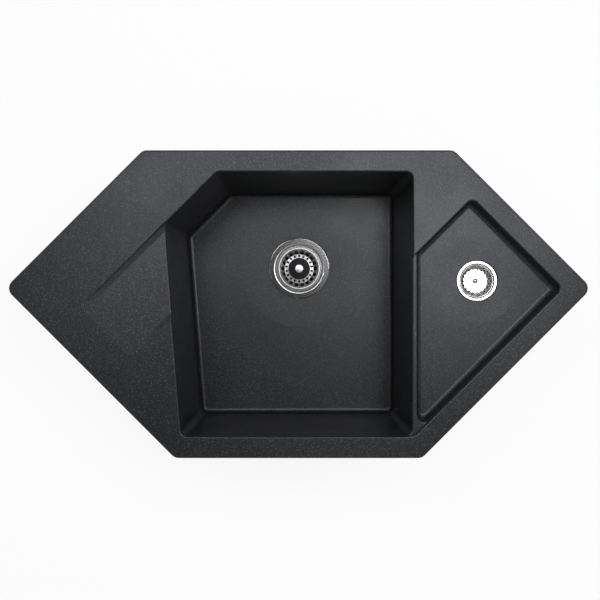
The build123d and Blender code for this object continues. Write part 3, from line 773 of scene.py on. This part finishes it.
@dataclass(frozen=True)
class Thread:
    """The ridge of a screw thread, wound round an upright axis through the origin."""

    core: float
    crest: float
    pitch: float
    steps: int
    flank: float = 0.48  # half of the ridge's foot, as a share of the pitch

    def wind(self, low: float, high: float) -> bpy.types.Object:
        """Winds the ridge between two heights.

        Args:
            low: Height of its lowest point.
            high: Height that it stays below.

        Returns:
            The closed ridge, its foot sunk in the core.
        """
        depth = self.crest - self.core
        turns = int((high - low) / self.pitch) - 1
        bpy.ops.object.select_all(action="DESELECT")
        bpy.ops.mesh.primitive_circle_add(
            vertices=4,
            radius=depth,
            location=(self.core, 0.0, low + self.pitch * self.flank),
            rotation=(math.pi / 2, 0.0, 0.0),
        )
        ridge = bpy.context.object
        bpy.ops.object.transform_apply(location=True, rotation=True, scale=True)
        bpy.ops.object.mode_set(mode="EDIT")
        bpy.ops.mesh.select_all(action="SELECT")
        bpy.ops.transform.resize(
            value=(1.0, 1.0, self.pitch * self.flank / depth),
            center_override=(self.core, 0.0, low + self.pitch * self.flank),
        )
        bpy.ops.object.mode_set(mode="OBJECT")
        apply_modifier(
            ridge,
            "SCREW",
            {
                "axis": "Z",
                "angle": math.tau,
                "screw_offset": self.pitch,
                "iterations": turns,
                "steps": self.steps,
                "render_steps": self.steps,
            },
        )
        bpy.ops.object.mode_set(mode="EDIT")
        bpy.ops.mesh.select_all(action="SELECT")
        bpy.ops.mesh.fill_holes(sides=4)
        bpy.ops.mesh.select_all(action="SELECT")
        bpy.ops.mesh.normals_make_consistent(inside=False)
        bpy.ops.object.mode_set(mode="OBJECT")
        return ridge


def moved(piece: bpy.types.Object, x: float, y: float) -> bpy.types.Object:
    """Moves a mesh's points across, so that its object stays at the origin."""
    activate(piece)
    bpy.ops.transform.translate(value=(x, y, 0.0))
    bpy.ops.object.transform_apply(location=True, rotation=False, scale=False)
    return piece


# ------------------------------------------------------------------ the sink
def node_middle(name: str) -> tuple[float, float]:
    """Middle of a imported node's box, seen from above.

    Args:
        name: The node's name.

    Returns:
        X and Y in metres.
    """
    low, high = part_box(name)
    return (low[0] + high[0]) / 2, (low[1] + high[1]) / 2


@dataclass(frozen=True)
class Waste:
    """One basket strainer waste."""

    name: str
    centre: tuple[float, float]
    dish_zones: tuple[Zone, ...]
    basket_zones: tuple[Zone, ...]
    knob: str
    thread_pitch: float = 2.309 * MM  # G 1 1/2
    thread_depth: float = 1.45 * MM
    thread_run_out: float = 1.5 * MM
    thread_steps: int = 48
    skin_reach: float = 0.05 * MM  # a point this near the pipe's outside is on it

    def build(self, frame: dict[str, Any], finishes: dict[str, Any]) -> None:
        """Gives each piece its finish and moulds the outlet's thread.

        Args:
            frame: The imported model.
            finishes: Materials shared by all the wastes.
        """
        nodes = frame["nodes"]
        mounts = {mount["name"]: mount for mount in frame["record"]["mounts"]}
        outlet = mounts[f"{self.name}_outlet"]
        pressed = SpunSteel(f"{self.name}_dish_steel", self.centre, buffed=self.dish_zones)
        strainer = SpunSteel(f"{self.name}_basket_steel", self.centre, buffed=self.basket_zones)
        dress(nodes[f"{self.name}_dish"], pressed.build())
        dress(nodes[f"{self.name}_basket_cup"], strainer.build())
        for piece, finish in {
            "flange_seal": "rubber",
            "gasket": "rubber",
            "stopper": "rubber",
            "fixing_bolt": "turned",
            "stem": "turned",
            "knob": self.knob,
        }.items():
            dress(nodes[f"{self.name}_{piece}"], finishes[finish])
        self._outlet(nodes[f"{self.name}_waste_body"], outlet, finishes["polypropylene"])

    def _outlet(
        self, node: bpy.types.Object, outlet: dict[str, Any], plastic: bpy.types.Material
    ) -> None:
        """Moulds the pipe thread on the waste body's outlet.

        Args:
            node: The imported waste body.
            outlet: The record's mount for the pipe.
            plastic: Its finish.
        """
        x, y = self.centre
        crest = outlet["dims"]["r_mm"] * MM
        length = outlet["dims"]["length_mm"] * MM
        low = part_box(node.name)[0][2]
        core = crest - self.thread_depth
        body = copy_of(node, f"{self.name}_waste_moulding")
        near = self.skin_reach

        def on_pipe(point: Vector) -> bool:
            """Whether a point lies on the outside of the outlet."""
            reach = math.hypot(point.x - x, point.y - y)
            return abs(reach - crest) < near and point.z < low + length + near

        select_points(body, on_pipe)
        bpy.ops.transform.resize(
            value=(core / crest, core / crest, 1.0), center_override=(x, y, low)
        )
        bpy.ops.object.mode_set(mode="OBJECT")
        thread = Thread(core, crest, self.thread_pitch, self.thread_steps)
        run_out = self.thread_run_out
        ridge = moved(thread.wind(low + run_out, low + length - run_out), x, y)
        piece = joined([body, ridge], f"{self.name}_waste_moulding")
        settle(piece, "sink", plastic)
        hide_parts(node.name)


@dataclass(frozen=True)
class Clips:
    """The worktop clips: hexagon screws with a rolled thread, and the claws that they carry."""

    shank_r: float = 3.0 * MM
    core_r: float = 2.42 * MM
    pitch: float = 1.0 * MM  # M6
    head_r: float = 5.5 * MM
    head_h: float = 4.0 * MM
    head_edge: float = 0.45 * MM
    tip_edge: float = 0.8 * MM
    shank_sides: int = 24
    thread_steps: int = 16
    claw_edge: float = 0.35 * MM
    claw_edge_deg: float = 40.0  # edges that turn by more are rounded

    def build(self, frame: dict[str, Any], finishes: dict[str, Any]) -> None:
        """Makes the screws and the claws.

        Args:
            frame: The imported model.
            finishes: Materials by name.
        """
        nodes = frame["nodes"]
        model = self._screw()
        for joint in frame["joints"]:
            body = joint["child"]
            if not body.startswith("claw"):
                continue
            screw = model.copy()
            screw.data = model.data.copy()
            screw.name = body.replace("claw", "screw")
            bpy.context.scene.collection.objects.link(screw)
            moved(screw, *joint["pos_m"][:2])
            settle(screw, "sink", finishes["zinc"])
            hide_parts("clip_screws")
            self._claw(nodes[f"clip_{body}"], body, finishes["zinc"])
        bpy.data.objects.remove(model)
        dress(nodes["clip_inserts"], finishes["brass"])

    def _screw(self) -> bpy.types.Object:
        """Models one screw on the axis through the origin.

        Returns:
            Head, shank and thread in one mesh.
        """
        low, high = (corner[2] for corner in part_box("clip_screws"))
        shoulder = low + self.head_h
        bpy.ops.object.select_all(action="DESELECT")
        bpy.ops.mesh.primitive_cylinder_add(
            vertices=6,
            radius=self.head_r,
            depth=self.head_h,
            location=(0.0, 0.0, low + self.head_h / 2),
            rotation=(0.0, 0.0, math.pi / 6),
        )
        head = bpy.context.object
        bpy.ops.object.transform_apply(location=True, rotation=True, scale=True)
        select_points(head, lambda point: point.z < low + MERGE_MM * MM)
        bpy.ops.mesh.bevel(offset=self.head_edge, segments=2)
        bpy.ops.object.mode_set(mode="OBJECT")
        bpy.ops.object.select_all(action="DESELECT")
        bpy.ops.mesh.primitive_cylinder_add(
            vertices=self.shank_sides,
            radius=self.core_r,
            depth=high - shoulder,
            location=(0.0, 0.0, (shoulder + high) / 2),
        )
        shank = bpy.context.object
        bpy.ops.object.transform_apply(location=True, rotation=True, scale=True)
        select_points(shank, lambda point: point.z > high - MERGE_MM * MM)
        bpy.ops.mesh.bevel(offset=self.tip_edge, segments=1)
        bpy.ops.object.mode_set(mode="OBJECT")
        crest = self.shank_r - MERGE_MM * MM
        thread = Thread(self.core_r, crest, self.pitch, self.thread_steps)
        ridge = thread.wind(shoulder, high - self.tip_edge)
        return joined([head, shank, ridge], "clip_screw")

    def _claw(self, node: bpy.types.Object, body: str, zinc: bpy.types.Material) -> None:
        """Rounds the sheared edges of one claw.

        Args:
            node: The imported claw.
            body: The body that it rides on.
            zinc: Its finish.
        """
        claw = copy_of(node, body)
        apply_modifier(
            claw,
            "BEVEL",
            {
                "width": self.claw_edge,
                "segments": 2,
                "limit_method": "ANGLE",
                "angle_limit": math.radians(self.claw_edge_deg),
            },
        )
        settle(claw, body, zinc)
        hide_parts(node.name)


def main() -> None:
    """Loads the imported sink, dresses it and lights it."""
    logging.basicConfig(level=logging.INFO, format="%(message)s")
    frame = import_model()
    cad_box = [list(corner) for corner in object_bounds()]
    nodes = frame["nodes"]
    finishes = {
        "composite": QuartzComposite().build(),
        "rubber": MouldedSkin(
            "epdm_rubber", "#1c1c1c", "#161616", roughness=0.7, texture_mm=0.8, relief_mm=0.05
        ).build(),
        "foam": MouldedSkin(
            "foam_tape", "#3a3a3a", "#242424", roughness=0.9, texture_mm=0.6, relief_mm=0.15
        ).build(),
        "polypropylene": MouldedSkin(
            "polypropylene", "#e6e5e0", "#dddcd6", roughness=0.42, texture_mm=1.5, relief_mm=0.03
        ).build(),
        "turned": PlatedMetal("turned_steel", "#c2c2c0", "#a8a8a6", roughness=0.25).build(),
        "chrome": PlatedMetal("chrome", "#b4b4b4", "#9c9c9c", roughness=0.03).build(),
        "satin_chrome": PlatedMetal("satin_chrome", "#e6e6e6", "#dadada", roughness=0.32).build(),
        "zinc": PlatedMetal("zinc_plate", "#c0c3c7", "#9fa3a8", roughness=0.32).build(),
        "brass": PlatedMetal("machined_brass", "#c9a860", "#a88a48", roughness=0.3).build(),
    }
    dress(nodes["sink_body"], finishes["composite"])
    dress(nodes["rim_seal"], finishes["foam"])
    Waste(
        "main",
        node_middle("main_dish"),
        dish_zones=(
            Zone(46.6, 58.0, 0.135),  # the flange
            Zone(0.0, 37.6, 0.08),  # the tube and the bottom below it
        ),
        basket_zones=(
            Zone(0.0, 20.8, 0.09),  # the disc under the knob
            Zone(38.4, 43.0, 0.17),  # the rim
        ),
        knob="satin_chrome",
    ).build(frame, finishes)
    Waste(
        "small",
        node_middle("small_dish"),
        dish_zones=(Zone(28.6, 34.0, 0.17),),  # the flange
        basket_zones=(
            Zone(0.0, 19.8, 0.17),  # the floor
            Zone(20.6, 28.0, 0.24),  # the cone and the rim
        ),
        knob="chrome",
    ).build(frame, finishes)
    Clips().build(frame, finishes)
    Studio().build(cad_box[0][2])


if __name__ == "__main__":
    main()
